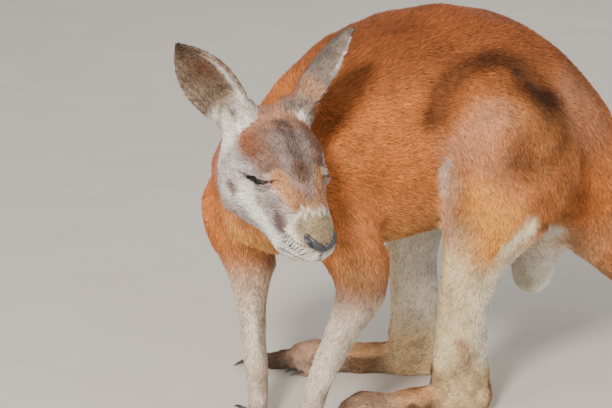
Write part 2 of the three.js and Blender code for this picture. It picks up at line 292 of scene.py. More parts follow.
def thinned(points, quads, owner_of):
    """The surface with fewer faces on the body, and all of them on the head, hands and feet."""
    piece = mesh_piece("surface", points, quads)
    group = piece.vertex_groups.new(name="coarse")
    coarse = ~in_nodes(owner_of(points), ("head", "ear", "hand", "foot"))
    group.add(np.nonzero(coarse)[0].tolist(), 1.0, "REPLACE")
    fewer = piece.modifiers.new("fewer", "DECIMATE")
    fewer.ratio = SKIN_SHARE
    fewer.vertex_group = "coarse"
    fewer.vertex_group_factor = 1.0
    fewer.use_collapse_triangulate = True
    mesh = bpy.data.meshes.new_from_object(piece.evaluated_get(bpy.context.evaluated_depsgraph_get()))
    bpy.data.objects.remove(piece)
    return mesh


def opened_at_the_eyes(mesh):
    """The same mesh with smaller faces round each eye, as points and triangles."""
    net = bmesh.new()
    net.from_mesh(mesh)
    for reach in (27.0, 25.0):
        net.verts.ensure_lookup_table()
        q = to_head(np.array([v.co for v in net.verts]))
        q[:, 1] = np.abs(q[:, 1])
        close = np.linalg.norm(q - EYE, axis=1) < reach
        edges = [e for e in net.edges if close[e.verts[0].index] and close[e.verts[1].index]]
        bmesh.ops.subdivide_edges(net, edges=edges, cuts=1, use_grid_fill=True)
        bmesh.ops.triangulate(net, faces=net.faces[:])
        net.verts.index_update()
    fine = bpy.data.meshes.new("fine")
    net.to_mesh(fine)
    net.free()
    return points_of(fine), triangles_of(fine)


# ---------- how the coat lies ----------
# Lines through the body, in its own millimetres; for each heel its place and the degrees its toes turn out.
SPINE = np.array([at(*p) for p in (
    (-124, -182, 424), (-100, -96, 376), (8, -32, 385), (95, -12, 400), (185, -2, 411), (264, 0, 396),
    (334, 0, 346), (444, 0, 215), (514, 0, 150), (602, 0, 93), (705, 0, 53), (955, 0, 22), (1075, 0, 12))])
LEG = ((206, 88, 474), (217, 106, 395), (221, 113, 348), (186, 114, 252), (171, 98, 150), (175, 82, 62),
       (176, 78, 26))
ARMS = {"l": ((-34, -98, 372), (-5, -134, 283), (9, -147, 238), (4, -151, 204), (-36, -149, 121),
              (-63, -147, 24)),
        "r": ((-92, 6, 352), (-120, 3, 276), (-106, 2, 236), (-101, -1, 204), (-101, -12, 121),
              (-101, -40, 24))}
HEELS = {"l": ((222, -77), 4), "r": ((206, 66), 20)}
SIDES = (("l", -1), ("r", 1))
# Each coat, in millimetres and degrees: how deep it lies, a tuft's length and width, how steeply it stands.
COATS = {"head": (1.8, 7.0, 1.2, 10), "ear": (0.9, 5.5, 1.1, 9), "neck": (3.3, 13, 1.7, 15),
         "trunk": (3.1, 13, 1.7, 14), "tail": (3.0, 12, 1.7, 14), "scrotum": (1.8, 7, 1.4, 13),
         "thigh": (3.0, 12, 1.6, 14), "shank": (2.6, 10, 1.5, 14), "foot": (1.8, 8, 1.3, 12),
         "upper_arm": (3.0, 12, 1.6, 14), "forearm": (2.4, 10, 1.4, 13), "hand": (1.4, 6, 1.2, 11)}
EARS = {"l": {"along": (-0.06, 0.6, 0.8), "opening": (0.15, 0.95, -0.2), "root": (-78, 34, 38)},
        "r": {"along": (-0.1, -0.68, 0.72), "opening": (0.93, -0.3, -0.15), "root": (-78, -34, 38)}}
EYE = np.array([9.0, 33.0, 2.0])
EYE_RADIUS = 14.2
EAR_LENGTH = 134
EAR_HALF = 39
SNOUT_TIP = np.array([108.0, 0.0, -20.0])


def for_flesh(table):
    """A table's entries, one for each node of flesh, by how its name starts."""
    rows = [next(row for key, row in table.items() if name.startswith(key)) for name in FLESH]
    return np.array(rows, float)


def gaps(p, line):
    """How far each p lies from each length of a line of points, and those lengths."""
    line = np.asarray(line, float)
    a, run = line[:-1], np.diff(line, axis=0)
    t = np.clip(((p[:, None] - a) * run).sum(-1) / (run * run).sum(-1), 0, 1)
    return np.linalg.norm(p[:, None] - (a + t[..., None] * run), axis=-1), run


def line_gap(p, line, scale=1000.0):
    """How far each p lies from a line of points, in millimetres."""
    return gaps(p, line)[0].min(1) * scale


def along(line, p):
    """The run of a line of points near each p."""
    gap, run = gaps(p, line)
    weight = np.exp(-(gap - gap.min(1, keepdims=True)) / 0.02)
    return unit(weight @ unit(run))


def in_nodes(owner, prefix):
    chosen = np.array([name.startswith(prefix) for name in FLESH])
    return chosen[owner]


def lie_of_the_coat(p, normal, owner):
    """The direction in which the hair points at each place."""
    flow = along(SPINE, p)
    flow = flow + np.array([0, 0, -0.45]) * (1 - np.abs(normal[:, 2:])) ** 0.5

    def laid(flow, prefix, way):
        return np.where(in_nodes(owner, prefix)[:, None], way, flow)

    backward = unit(to_head(p) - SNOUT_TIP) + np.array([-0.6, 0.0, 0.0])
    flow = laid(flow, "head", backward @ AXES)
    for side, sign in SIDES:
        leg = [at(x, sign * y, z) for x, y, z in LEG]
        arm = [at(*point) for point in ARMS[side]]
        for prefix, line in (("thigh_", leg), ("shank_", leg), ("upper_arm_", arm), ("forearm_", arm)):
            flow = laid(flow, prefix + side, along(line, p))
        turn = math.radians(HEELS[side][1])
        flow = laid(flow, "foot_" + side, np.array([-math.cos(turn), sign * math.sin(turn), -0.25]))
        flow = laid(flow, "hand_" + side, np.array([-0.55, 0.0, -0.8]))
        flow = laid(flow, "ear_" + side, turn_from_head(EARS[side]["along"]))
    flow = laid(flow, "thigh", flow + np.array([0.45, 0, 0]))
    return unit(flow - dot(flow, normal)[:, None] * normal)


# ---------- the face ----------
# Each eye's own axes on the left side of the head: along the slit to its inner corner, out, and up.
SLIT_ALONG = unit(np.array([36.0, -21.0, 9.0]))
SLIT_OUT = unit(np.cross(np.array([0.0, 0.0, 1.0]), SLIT_ALONG))
SLIT_UP = np.cross(SLIT_ALONG, SLIT_OUT)
SLIT_AXES = np.array([SLIT_ALONG, SLIT_OUT, SLIT_UP])
SLIT_MIDDLE = -5.5
SLIT_RISE = 5.0
SLIT_HALF = 25.0
SLIT_SAG = 1.6
SLIT_GAPE = 2.0


def mirrored(q):
    """Head places folded onto the left half."""
    out = q.copy()
    out[:, 1] = np.abs(out[:, 1])
    return out


def slit_line(a):
    """How high the closed lids meet, at places along the slit from its middle."""
    return SLIT_RISE - SLIT_SAG * (1 - np.clip(a / SLIT_HALF, -1.6, 1.2) ** 2)


def eye_places(q):
    """Along the slit, outward and above its line, for head places folded onto the left half."""
    e = (q - EYE) @ SLIT_AXES.T
    a = e[:, 0] - SLIT_MIDDLE
    return a, e[:, 1], e[:, 2] - slit_line(a)


def gape(a):
    return SLIT_GAPE * np.clip(1 - ((a + 2) / (SLIT_HALF * 0.72)) ** 2, 0, 1)


def outer_crease(a, up, width, start, reach):
    """1 in the crease that runs back from the slit's outer corner."""
    return hump(up - 0.25 * (-a - SLIT_HALF), width) * near((a + SLIT_HALF + start)[:, None], [0.0], reach)


# Folds of the lids: height over the slit, slope, width and middle, how far from its middle the fold is full
# and how far it reaches, and how far it stands out.
FOLDS = (
    (6.6, 0.10, 1.1, 2, 12, 20, -1.5),
    (12.5, 0.25, 1.5, 8, 4, 14, -1.3),
    (-7.0, 0.0, 1.4, 3, 8, 18, -1.1),
    (-11.5, 0.0, 1.8, 7, 6, 16, -0.8),
    (3.9, 0.0, 1.9, 0, 12, 20, 0.35),
)


def shaped_face(points):
    """Lids over the eyes, their slits and folds, the nostrils' hollows and the mouth's line."""
    q = to_head(points)
    side = np.where(q[:, 1] < 0, -1.0, 1.0)
    f = mirrored(q)
    from_eye = f - EYE
    distance = np.linalg.norm(from_eye, axis=1)
    outer = ramp(0.0, 6.0, eye_places(f)[1])
    lid = np.maximum(distance, EYE_RADIUS + 1.0)
    over = (outer * ramp(26, 19, distance))[:, None]
    f = f + over * (EYE + unit(from_eye) * lid[:, None] - f)
    from_eye = f - EYE
    distance = np.linalg.norm(from_eye, axis=1)
    a, _, up = eye_places(f)
    region = outer * ramp(37, 29, distance)
    within = ramp(SLIT_HALF, SLIT_HALF - 4, np.abs(a))
    rise = 0.5 * (hump(np.abs(up) - gape(a) - 1.3, 1.0) * within)
    for height, slope, width, centre, full, end, high in FOLDS:
        rise = rise + high * (hump(up - height - slope * a, width) * ramp(end, full, np.abs(a - centre)))
    rise = region * (rise - 1.1 * outer_crease(a, up, 1.0, 3, 8))
    outward = unit(0.6 * unit(from_eye) + 0.4 * SLIT_OUT)
    f = f + rise[:, None] * outward
    slit = ramp(gape(a) + 0.45, gape(a) - 0.1, np.abs(up)) * ramp(SLIT_HALF, SLIT_HALF - 2, np.abs(a))
    sunk = EYE + unit(from_eye) * (EYE_RADIUS - 2.2)
    ball = ramp(EYE_RADIUS + 7, EYE_RADIUS + 2.5, distance)
    f = f + (region * slit * ball)[:, None] * (sunk - f)
    f = f - (region * slit * (1 - ball) * 1.4)[:, None] * SLIT_OUT
    for place, reach, height in FACE_FORMS:
        aim = unit(f - np.array([place[0] - 18.0, 0.0, -30.0]))
        f = f + (height * near(f, place, np.array(reach)))[:, None] * aim
    inward = unit(np.stack([np.zeros(len(f)), -f[:, 1], np.full(len(f), -0.3)], 1))
    f = f + (1.9 * mouth_line(f))[:, None] * inward
    f[:, 1] *= side
    return from_head(f)


# Forms of the face, folded onto its left half: place, reach and height, in the head's millimetres.
FACE_FORMS = (
    ((106, 0, -24), (13, 12, 10), 2.6),      # furred top of the nose
    ((99, 14, -28.5), (8, 7, 3.6), -5.0),    # nostril
    ((92, 18, -47), (17, 13, 11), 2.6),      # whisker pad
    ((76, 16, -18), (16, 9, 14), -1.8),      # hollow beside the nose
    ((52, 12, 2), (26, 6, 12), 1.2),         # nasal ridge
    ((40, 26, -12), (24, 12, 14), -1.6),     # hollow before the eye
    ((-2, 36, 34), (20, 14, 12), 1.8),       # brow
    ((0, 16, 42), (26, 9, 14), -1.6),        # hollow beside the crown
    ((-14, 56, -34), (30, 16, 14), 1.8),     # cheekbone
    ((52, 28, -66), (16, 12, 12), 2.6),      # fur at the corner of the mouth
)


# Creases of the haunch's left side, in the body's millimetres: points along it, depth, width.
CREASES = (
    (((100, -134, 420), (113, -125, 467), (134, -115, 489), (157, -107, 499), (201, -98, 504),
      (237, -98, 496), (262, -116, 474)), 5.5, 8.0),
    (((262, -116, 474), (280, -138, 440), (270, -154, 412), (240, -166, 396)), 4.0, 12.0),
    (((118, -134, 372), (150, -152, 380), (192, -166, 380), (245, -169, 368)), 3.8, 5.0),
    (((122, -136, 356), (160, -160, 364), (206, -169, 360)), 2.8, 5.0),
    (((128, -138, 340), (158, -156, 348), (190, -165, 344)), 2.2, 5.0),
    (((318, -106, 440), (326, -108, 405), (320, -116, 372), (306, -128, 340), (290, -138, 312)), -8.0, 22.0),
    (((134, -124, 268), (160, -154, 256), (182, -158, 250), (205, -152, 258)), 2.4, 6.0),
    (((236, -168, 384), (252, -158, 350), (246, -162, 318)), 2.0, 8.0),
    (((262, -154, 290), (300, -110, 284), (345, -84, 292), (384, -78, 284)), 3.5, 9.0),
)


# Rounded forms of the same side: place, reach in metres, height in millimetres.
HAUNCH_FORMS = (
    ((188, -142, 446), 0.080, 3.5),
    ((178, -164, 302), 0.052, 4.0),
    ((300, -148, 375), 0.060, -5.0),
)


def shaped_haunch(p, n, owner):
    """The haunch's roundness and the skin folds round it, on both sides."""
    body = in_nodes(owner, ("trunk", "thigh", "tail_root"))
    rise = np.zeros(len(p))
    for sign in (1, -1):
        for (x, y, z), reach, high in HAUNCH_FORMS:
            rise += high * near(p, at(x, sign * y, z), reach)
        for line, deep, wide in CREASES:
            gap = line_gap(p, [at(x, sign * y, z) for x, y, z in line])
            rise -= deep * hump(gap, wide)
    return p + n * (rise * body / 1000)[:, None]


def mouth_line(f):
    """1 in the crease between the lips, on head places folded onto the left half."""
    height = -57.5 - 0.16 * np.clip(104 - f[:, 0], 0, 60)
    mouth = hump(f[:, 2] - height, 1.5) * ramp(44, 52, f[:, 0])
    philtrum = hump(f[:, 1], 1.3) * ramp(-59, -56, f[:, 2]) * ramp(-34, -40, f[:, 2])
    return np.maximum(mouth, philtrum * ramp(96, 102, f[:, 0]))


# ---------- the markings ----------
def tone(screen):
    """A colour from its 0 to 255 screen values."""
    c = np.array(screen) / 255
    return np.where(c <= 0.04045, c / 12.92, ((c + 0.055) / 1.055) ** 2.4)


RUST = (196, 117, 62)
# Darker back: partly the coat's own darker back, partly painted shade on the upper faces of trunk and neck.
BACK_AND_TOP_SHADE = (142, 76, 38)
BELLY = (228, 164, 98)
CREAM = (244, 216, 172)
WHITE = (246, 238, 226)
BUFF = (200, 128, 74)
PINK_BUFF = (197, 136, 101)
GREY = (178, 166, 165)
PALE_GREY = (208, 200, 200)
MID_GREY = (160, 142, 136)
DARK_GREY = (104, 84, 80)
# Painted shade for the creases of the haunch and the fold under the thigh.
CREASE_SHADE = (74, 38, 17)
BLACK = (26, 22, 22)
SAND = (160, 142, 114)
BRIDGE = (194, 138, 92)
BROWN = (118, 76, 50)
YELLOW = (226, 152, 74)
LEATHER = (58, 61, 71)
GROUNDS = {"head": GREY, "ear": (152, 138, 130), "neck": (168, 88, 36), "trunk": RUST,
           "tail": (208, 154, 108), "scrotum": (250, 238, 218), "thigh": BUFF, "shank": CREAM,
           "foot": (232, 200, 156), "upper_arm": RUST, "forearm": (224, 208, 188), "hand": (206, 186, 168)}
# Patches of the face, on places folded onto the left half: colour, points along it, reach, strength.
FACE = (
    (WHITE, ((-95, 36, -30), (-84, 44, 10)), 34, 0.55),
    ((188, 130, 98), ((-88, 0, 50), (-70, 22, 54), (-48, 20, 56)), 36, 0.9),
    ((152, 80, 42), ((-34, 46, 38), (-18, 46, 36)), 20, 0.85),
    (BROWN, ((-20, 40, 36), (0, 36, 32), (14, 31, 26)), 25, 0.85),
    ((128, 98, 82), ((-34, 22, 48), (-4, 22, 38), (20, 22, 24)), 22, 0.6),
    ((88, 66, 58), ((-34, 2, 56), (-6, 2, 44), (16, 2, 34), (38, 1, 17)), 12, 0.85),
    ((146, 128, 120), ((-14, 17, 44), (10, 16, 36), (34, 14, 16)), 10, 0.7),
    ((120, 86, 68), ((30, 2, 24), (48, 0, 10), (64, 0, 0)), 12, 0.75),
    (BRIDGE, ((26, 26, 10), (46, 20, 3), (64, 15, -5), (74, 8, -9)), 13, 0.95),
    ((134, 90, 64), ((44, 13, 8), (58, 12, 2), (70, 11, -4)), 5, 0.6),
    (MID_GREY, ((30, 38, -14), (50, 30, -22), (64, 26, -30)), 16, 0.5),
    ((84, 66, 64), ((54, 29, -28), (64, 28, -38)), 13, 0.85),
    (PALE_GREY, ((-40, 60, -10), (-10, 55, -22)), 30, 0.4),
    (MID_GREY, ((-66, 50, -44), (-44, 58, -56), (-12, 54, -62)), 20, 0.45),
    (WHITE, ((0, 53, -22), (14, 45, -38)), 15, 0.5),
    ((252, 248, 240), ((14, 45, -40), (32, 38, -53), (50, 32, -64)), 17, 0.95),
    ((252, 248, 240), ((50, 30, -62), (64, 28, -68)), 18, 1.0),
    (DARK_GREY, ((-24, 61, -20), (-18, 61, -23)), 8, 0.85),
    (DARK_GREY, ((12, 34, 20), (19, 32, 24)), 5, 0.6),
    (WHITE, ((-84, 46, 18), (-70, 50, 14)), 22, 0.9),
    ((216, 140, 60), ((-62, 36, 42), (-58, 38, 40)), 8, 0.8),
)
MUZZLE = (
    ((236, 226, 206), ((80, 25, -34), (94, 22, -42)), 12, 0.85),
    ((252, 248, 240), ((72, 28, -52), (94, 21, -51), (108, 0, -53), (96, 12, -64)), 15, 0.95),
    ((150, 124, 90), ((108, 0, -22), (98, 0, -14)), 12, 0.5),
)
# Patches of the body's left side, in its own millimetres: colour, points along it, reach, strength.
SIDE = (
    ((204, 120, 60), ((40, -150, 400), (90, -130, 350), (60, -150, 320)), 70, 0.5),
    (PINK_BUFF, ((150, -140, 400), (185, -148, 430), (176, -158, 392)), 46, 0.75),
    ((168, 96, 46), ((112, -130, 440), (134, -124, 470), (160, -118, 486), (196, -114, 488),
                     (226, -122, 478)), 30, 0.75),
    # painted shade in the crease over the top of the haunch
    (CREASE_SHADE, ((104, -130, 436), (113, -125, 467), (134, -115, 489), (157, -107, 499), (201, -98, 504),
                  (237, -96, 496), (258, -110, 478)), 17, 0.8),
    ((206, 146, 112), ((352, -85, 406), (330, -90, 440)), 56, 0.6),
    ((176, 104, 56), ((300, -140, 370), (284, -155, 340), (262, -160, 320), (330, -95, 350),
                      (340, -90, 310)), 40, 0.75),
    # painted shade along the back edge of the haunch's hump and in its crease
    (CREASE_SHADE, ((244, -114, 482), (264, -125, 463), (275, -142, 437), (280, -148, 419), (257, -160, 405),
                  (232, -166, 394)), 36, 1.0),
    # painted shade in the three skin folds over the knee
    ((138, 84, 54), ((118, -134, 370), (150, -152, 378), (192, -166, 378), (245, -169, 366)), 7, 0.6),
    ((150, 94, 58), ((122, -136, 354), (160, -160, 362), (206, -169, 358)), 6, 0.5),
    ((162, 104, 60), ((128, -138, 338), (158, -156, 346), (190, -165, 342)), 5, 0.45),
    (YELLOW, ((160, -158, 328), (184, -166, 305), (180, -160, 272)), 44, 0.92),
    ((216, 176, 150), ((132, -140, 356), (134, -126, 316), (138, -128, 276)), 18, 0.7),
    ((248, 226, 188), ((238, -169, 300), (230, -167, 288), (217, -165, 272), (206, -156, 252)), 12, 0.85),
    # painted highlight along the thigh's front edge
    ((222, 206, 196), ((124, -138, 382), (122, -132, 360), (126, -126, 338)), 9, 0.6),
    # painted shade in the fold under the thigh's lower edge, toward the tail
    (CREASE_SHADE, ((262, -150, 292), (300, -112, 290), (345, -84, 300), (380, -78, 290)), 13, 0.45),
    (WHITE, ((300, -62, 248), (318, -44, 240)), 18, 0.8),
    ((188, 108, 52), ((350, -84, 300), (377, -78, 281), (410, -62, 240), (450, -50, 200)), 58, 0.85),
    ((150, 98, 68), ((163, -122, 122), (172, -116, 104), (180, -112, 84)), 12, 0.6),
    ((214, 152, 84), ((-60, -90, 270), (-90, -60, 262), (-130, -40, 262), (-140, -110, 300)), 26, 0.7),
    (BELLY, ((30, -110, 262), (84, -90, 262), (130, -90, 270)), 32, 0.7),
    ((222, 142, 84), ((10, -150, 296), (60, -140, 290), (100, -134, 300)), 46, 0.5),
    ((216, 158, 100), ((-20, -172, 262), (20, -174, 250)), 26, 0.5),
)


def painted(colour, *layers):
    """A colour under layers of paint, each given as its screen colour and how far it covers."""
    for screen, share in layers:
        colour = colour + np.reshape(share, (-1, 1)) * (tone(screen) - colour)
    return colour


def patched(colour, patches, q, head):
    """A colour under the patches of a table of the face."""
    for screen, line, reach, share in patches:
        cover = ramp(reach * 1.25, reach * 0.35, line_gap(q, line, 1.0))
        colour = painted(colour, (screen, share * head * cover))
    return colour


def ear_places(p, side):
    """Across and along an ear's leaf, as shares of its half width there and of its length."""
    ways = EARS[side]
    run = unit(np.array(ways["along"]))
    opening = np.array(ways["opening"])
    across = unit(np.cross(run, opening))
    q = to_head(p) - np.array(ways["root"])
    v = np.clip((q @ run / EAR_LENGTH - 0.07) / 0.93, 0, 1)
    half = EAR_HALF * np.maximum(0.1, np.sin(math.pi * (0.3 + 0.7 * v) ** 1.25)) ** 0.72
    return q @ across / half, v


def painted_ears(colour, p, normal, owner):
    """White fringes and bases, dark rims and brown hollows on the ears."""
    for side, _ in SIDES:
        ear = in_nodes(owner, "ear_" + side) * 1.0
        s, v = ear_places(p, side)
        leaf = np.stack([s * EAR_HALF, v * EAR_LENGTH], 1)
        opening = dot(normal, turn_from_head(EARS[side]["opening"]))
        inside = ear * ramp(0.0, 0.5, opening)
        rays = 0.5 + 0.5 * np.sin(26 * s / (0.3 + v) + 3 * np.sin(9 * v))
        colour = painted(
            colour,
            ((118, 96, 76), 0.9 * inside),
            ((112, 72, 50), 0.85 * inside * near(leaf, (8, 80), 36)),
            ((198, 180, 160), 0.35 * inside * rays * ramp(0.15, 0.6, np.abs(s))),
            ((86, 68, 54), 0.75 * inside * ramp(0.70, 0.94, v)),
            (WHITE, inside * hump(s - 0.6, 0.10) * ramp(0.8, 0.5, v)),
            ((58, 46, 38), 0.85 * ear * ramp(0.86, 0.97, np.maximum(np.abs(s), v - 0.04))))
        if side == "l":
            colour = painted(
                colour,
                ((126, 108, 98), 0.7 * ear * (1 - inside)),
                ((164, 110, 84), 0.8 * ear * ramp(0.35, 0.75, s)),
                (WHITE, 0.95 * ear * ramp(-0.74, -0.92, s)),
                ((186, 128, 96), 0.8 * ear * ramp(0.30, 0.12, v) * ramp(-0.5, 0.1, s)),
                (WHITE, 0.7 * ear * near(leaf, (4, 36), 16)))
        else:
            colour = painted(
                colour,
                (WHITE, 0.85 * ear * ramp(0.22, 0.08, v)),
                # painted shade in the ear canal at the base of the right ear's opening
                ((44, 36, 34), 0.8 * inside * near(leaf, (6, 14), 12)))
        back = ear * near(v[:, None] * EAR_LENGTH, [34.0], 22) * (opening < 0)
        colour = painted(colour, ((206, 150, 104), 0.6 * back))
    return colour


def painted_body(p, normal, owner, web, blotch):
    """The grounds, the darker back with painted shade on its upper faces, the pale belly, and the patches of
    the body and its feet and hands, with painted shade in the haunch's folds and on the feet's sides.
    """
    up = normal[:, 2]
    height = (p[:, 2] - ORIGIN[2]) * 1000
    trunk = in_nodes(owner, ("trunk", "neck")) * 1.0
    colour = painted(
        tone(for_flesh(GROUNDS))[owner],
        # the coat's darker back plus painted shade, growing on upward faces and high up
        (BACK_AND_TOP_SHADE, trunk * (0.5 * ramp(0.2, 0.9, up) + 0.45 * ramp(430, 560, height))),
        (BELLY, 0.85 * trunk * ramp(-0.1, -0.75, up)),
        (WHITE, in_nodes(owner, "shank") * ramp(0.1, 0.7, normal[:, 0])),
        (WHITE, in_nodes(owner, ("thigh", "shank")) * 0.7 * ramp(0.2, 0.8, inward(p, normal))))
    colour = web.even(colour, 30, 0.9 * ~in_nodes(owner, ("head", "ear", "hand")))
    body = ~in_nodes(owner, ("head", "ear", "foot", "hand"))
    for sign in (1, -1):
        for screen, line, reach, share in SIDE:
            gap = line_gap(p, [at(x, sign * y, z) for x, y, z in line])
            share = np.clip(share * (1 + 0.22 * blotch), 0, 1)
            colour = painted(colour, (screen, share * body * ramp(reach * 1.3, reach * 0.35, gap)))
    for side, _ in SIDES:
        foot = in_nodes(owner, "foot_" + side)
        heel = at(*HEELS[side][0], 0)
        reach = np.linalg.norm((p - heel)[:, :2], axis=1) * 1000
        colour = painted(
            colour,
            ((202, 136, 80), 0.65 * foot * ramp(-0.1, 0.6, up) * ramp(45, 95, reach)),
            # painted shade: the sides of the fore foot darker than its top
            ((84, 46, 20), 0.85 * foot * ramp(60, 100, reach) * ramp(0.6, 0.1, up)),
            ((176, 150, 136), 0.6 * foot * ramp(120, 160, reach)),
            ((58, 44, 40), 0.9 * foot * ramp(212, 240, reach)),
            ((120, 92, 78), 0.8 * in_nodes(owner, "hand_" + side) * ramp(40, 18, height)))
    return colour


def painted_face(colour, p, owner):
    """The patches of the face, the pale muzzle's jagged edge, and dark slits and lips."""
    q = mirrored(to_head(p))
    head = in_nodes(owner, "head")
    colour = patched(colour, FACE, q, head)
    jags = 3.2 * np.sin(0.9 * q[:, 1] + 0.5 * q[:, 2]) + 1.8 * np.sin(1.9 * q[:, 1] - 0.9 * q[:, 2])
    edge = q[:, 0] - 78 + 0.3 * q[:, 1] + jags
    colour = painted(
        colour,
        (SAND, head * ramp(-1.5, 1.5, edge)),
        ((252, 242, 222), 0.95 * head * hump(edge - 3.0, 3.2)))
    colour = patched(colour, MUZZLE, q, head)
    a, out, above = eye_places(q)
    close = head * ramp(-2, 4, out)
    rays = 0.5 + 0.5 * np.sin(a * 2.4 + above * 0.5)
    brow = near(np.stack([a - 14, (above - 5.0) * 1.6], 1), (0.0, 0.0), 7)
    bags = near(np.stack([a - 2, (above + 7) * 2], 1), (0.0, 0.0), 18)
    along_slit = ramp(SLIT_HALF + 4, SLIT_HALF - 3, np.abs(a))
    edge = np.where(above > 0, gape(a) + 1.2, gape(a) + 2.3) * np.clip(1.2 - (a / SLIT_HALF) ** 4, 0.3, 1)
    return painted(
        colour,
        ((220, 202, 184), 0.6 * close * brow),
        ((136, 120, 118), 0.6 * close * (0.45 + 0.55 * rays) * bags),
        (BLACK, close * along_slit * ramp(edge + 0.9, edge - 0.3, np.abs(above))),
        # painted shade in the crease behind each slit's outer corner
        (BLACK, 0.75 * close * outer_crease(a, above, 1.3, 4, 10)),
        ((70, 52, 50), 0.9 * head * np.clip(mouth_line(q) * 1.4, 0, 1)))


def markings(p, normal, owner, web, blotch):
    """The coat's colour at each place on the skin."""
    colour = painted_ears(painted_body(p, normal, owner, web, blotch), p, normal, owner)
    return np.clip(painted_face(colour, p, owner), 0.002, 0.95)


WHISKER_ROWS = (-37.0, -41.0, -45.0, -49.0)


def whisker_spots(q):
    """1 on the small dark spots that the whiskers grow from, on head places folded onto the left half."""
    spots = np.zeros(len(q))
    for row, height in enumerate(WHISKER_ROWS):
        line = height - 0.05 * (100 - q[:, 0])
        step = (q[:, 0] + 2.4 * (row % 2)) % 4.8 - 2.4
        spot = np.exp(-(step / 1.5) ** 2 - ((q[:, 2] - line) / 1.1) ** 2)
        spots = np.maximum(spots, spot * ramp(60, 68, q[:, 0]) * ramp(108, 102, q[:, 0]))
    flecks = 0.5 + 0.5 * np.sin(q[:, 0] * 1.9) * np.sin(q[:, 2] * 1.7)
    return np.maximum(spots, 0.8 * (near(q, (66, 29, -55), (10, 12, 12)) * flecks))


def inward(p, normal):
    """How far a place on a limb faces the body's middle."""
    return -normal[:, 1] * np.sign(p[:, 1] - at(200, 0, 0)[1])


# ---------- the coat ----------
COAT_LIMIT = 640000      # how many tufts the coat has at most
MOTTLE_RISE = 0.30       # how high small clumps of the coat stand, in millimetres
CLUMP_RISE = 0.7         # how high large ones stand
UNDERCOAT = 0.72         # how bright the skin under the tufts is, beside their own colour
COVER = 5.0              # how many times over the tufts cover the skin, before that limit
PATCH = 0.0015           # half the size of a tuft's place on the skin's unwrap


def skin_measures(p, normal, owner, web):
    """At each place: the coat's depth, tuft length, tuft width, steepness and how much of it there is."""
    depth, length, width, lift = for_flesh(COATS)[owner].T.copy()
    full = np.ones(len(p))
    trunk = in_nodes(owner, ("trunk", "neck"))
    length = length * (1 + 0.25 * trunk * ramp(-0.2, -0.8, normal[:, 2]))
    q = mirrored(to_head(p))
    head = in_nodes(owner, "head")
    short = head * near(q, (95, 0, -35), (60, 60, 50))
    length = length * (1 - 0.45 * short)
    width = width * (1 - 0.25 * short)
    length = length * (1 + 0.9 * head * near(q, (-85, 30, 20), (50, 60, 50)))
    for side, _ in SIDES:
        ear = in_nodes(owner, "ear_" + side)
        s, v = ear_places(p, side)
        base = ear * ramp(0.34, 0.08, v)
        fringe = ear * ramp(0.6, 0.9, np.abs(s)) * ramp(0.9, 0.5, v)
        length = length * (1 + 0.6 * fringe + 0.5 * base)
        lift = lift + 4 * base
    sole = in_nodes(owner, ("foot", "hand", "tail")) * ramp(-0.55, -0.85, normal[:, 2])
    sole = sole * ramp(0.014, 0.007, p[:, 2])
    depth, length, width, lift, full = web.even(np.stack([depth, length, width, lift, full], 1), 14, 0.8).T
    depth = depth * (1 - sole) + 0.25 * sole
    a, out, above = eye_places(q)
    bare = head * ramp(-2, 4, out) * ramp(SLIT_HALF + 2, SLIT_HALF - 1, np.abs(a - 3.0))
    bare = bare * ramp(gape(a) + 2.6, gape(a) + 1.7, np.abs(above))
    bare = np.maximum(bare, head * (np.abs(pad_places(q)[1]) < 1.12) * (q[:, 0] > 84) * (q[:, 1] < 24))
    bare = np.maximum(bare, head * np.clip(mouth_line(q) * 1.3, 0, 1))
    full = full * (1 - np.maximum(bare, sole))
    depth = depth * (1 - 0.6 * bare)
    return depth, length, width, lift, full


PAD_HALF = 22.0
SNOUT = np.array([80.0, 0.0, -36.0])


def pad_form(across):
    """The height of the naked pad's middle line, and half the pad's own height, out from its middle."""
    return -37.5 + 13.0 * across ** 1.2, 3.8 + 3.6 * np.clip(across, 0, 1) ** 0.8


def pad_places(q):
    """Across and up the naked pad's V, each from -1 to 1, for places on the snout."""
    across = np.abs(q[:, 1]) / PAD_HALF
    line, half = pad_form(across)
    return np.sign(q[:, 1]) * across, (q[:, 2] - line) / half


def corner_uvs(mesh):
    out = np.empty(len(mesh.loops) * 2, np.float32)
    mesh.uv_layers["OFBake"].data.foreach_get("uv", out)
    return out.reshape(-1, 3, 2).astype(float)


def sown(points, triangles, full, length, width):
    """Which triangle each tuft grows from and where in it, thickest where tufts are small."""
    a, b, c = (points[triangles[:, i]] for i in range(3))
    area = np.linalg.norm(np.cross(b - a, c - a), axis=1) / 2 * 1e6
    share, long, wide = (values[triangles].mean(1) for values in (full, length, width))
    wanted = COVER * area * share / (0.5 * long * wide)
    wanted *= min(1.0, COAT_LIMIT / wanted.sum())
    count = np.floor(wanted + RNG.random(len(wanted))).astype(int)
    chosen = np.repeat(np.arange(len(wanted)), count)
    r = RNG.random((len(chosen), 2))
    folded = r.sum(1) > 1
    r[folded] = 1 - r[folded]
    return chosen, np.stack([1 - r.sum(1), r[:, 0], r[:, 1]], 1)


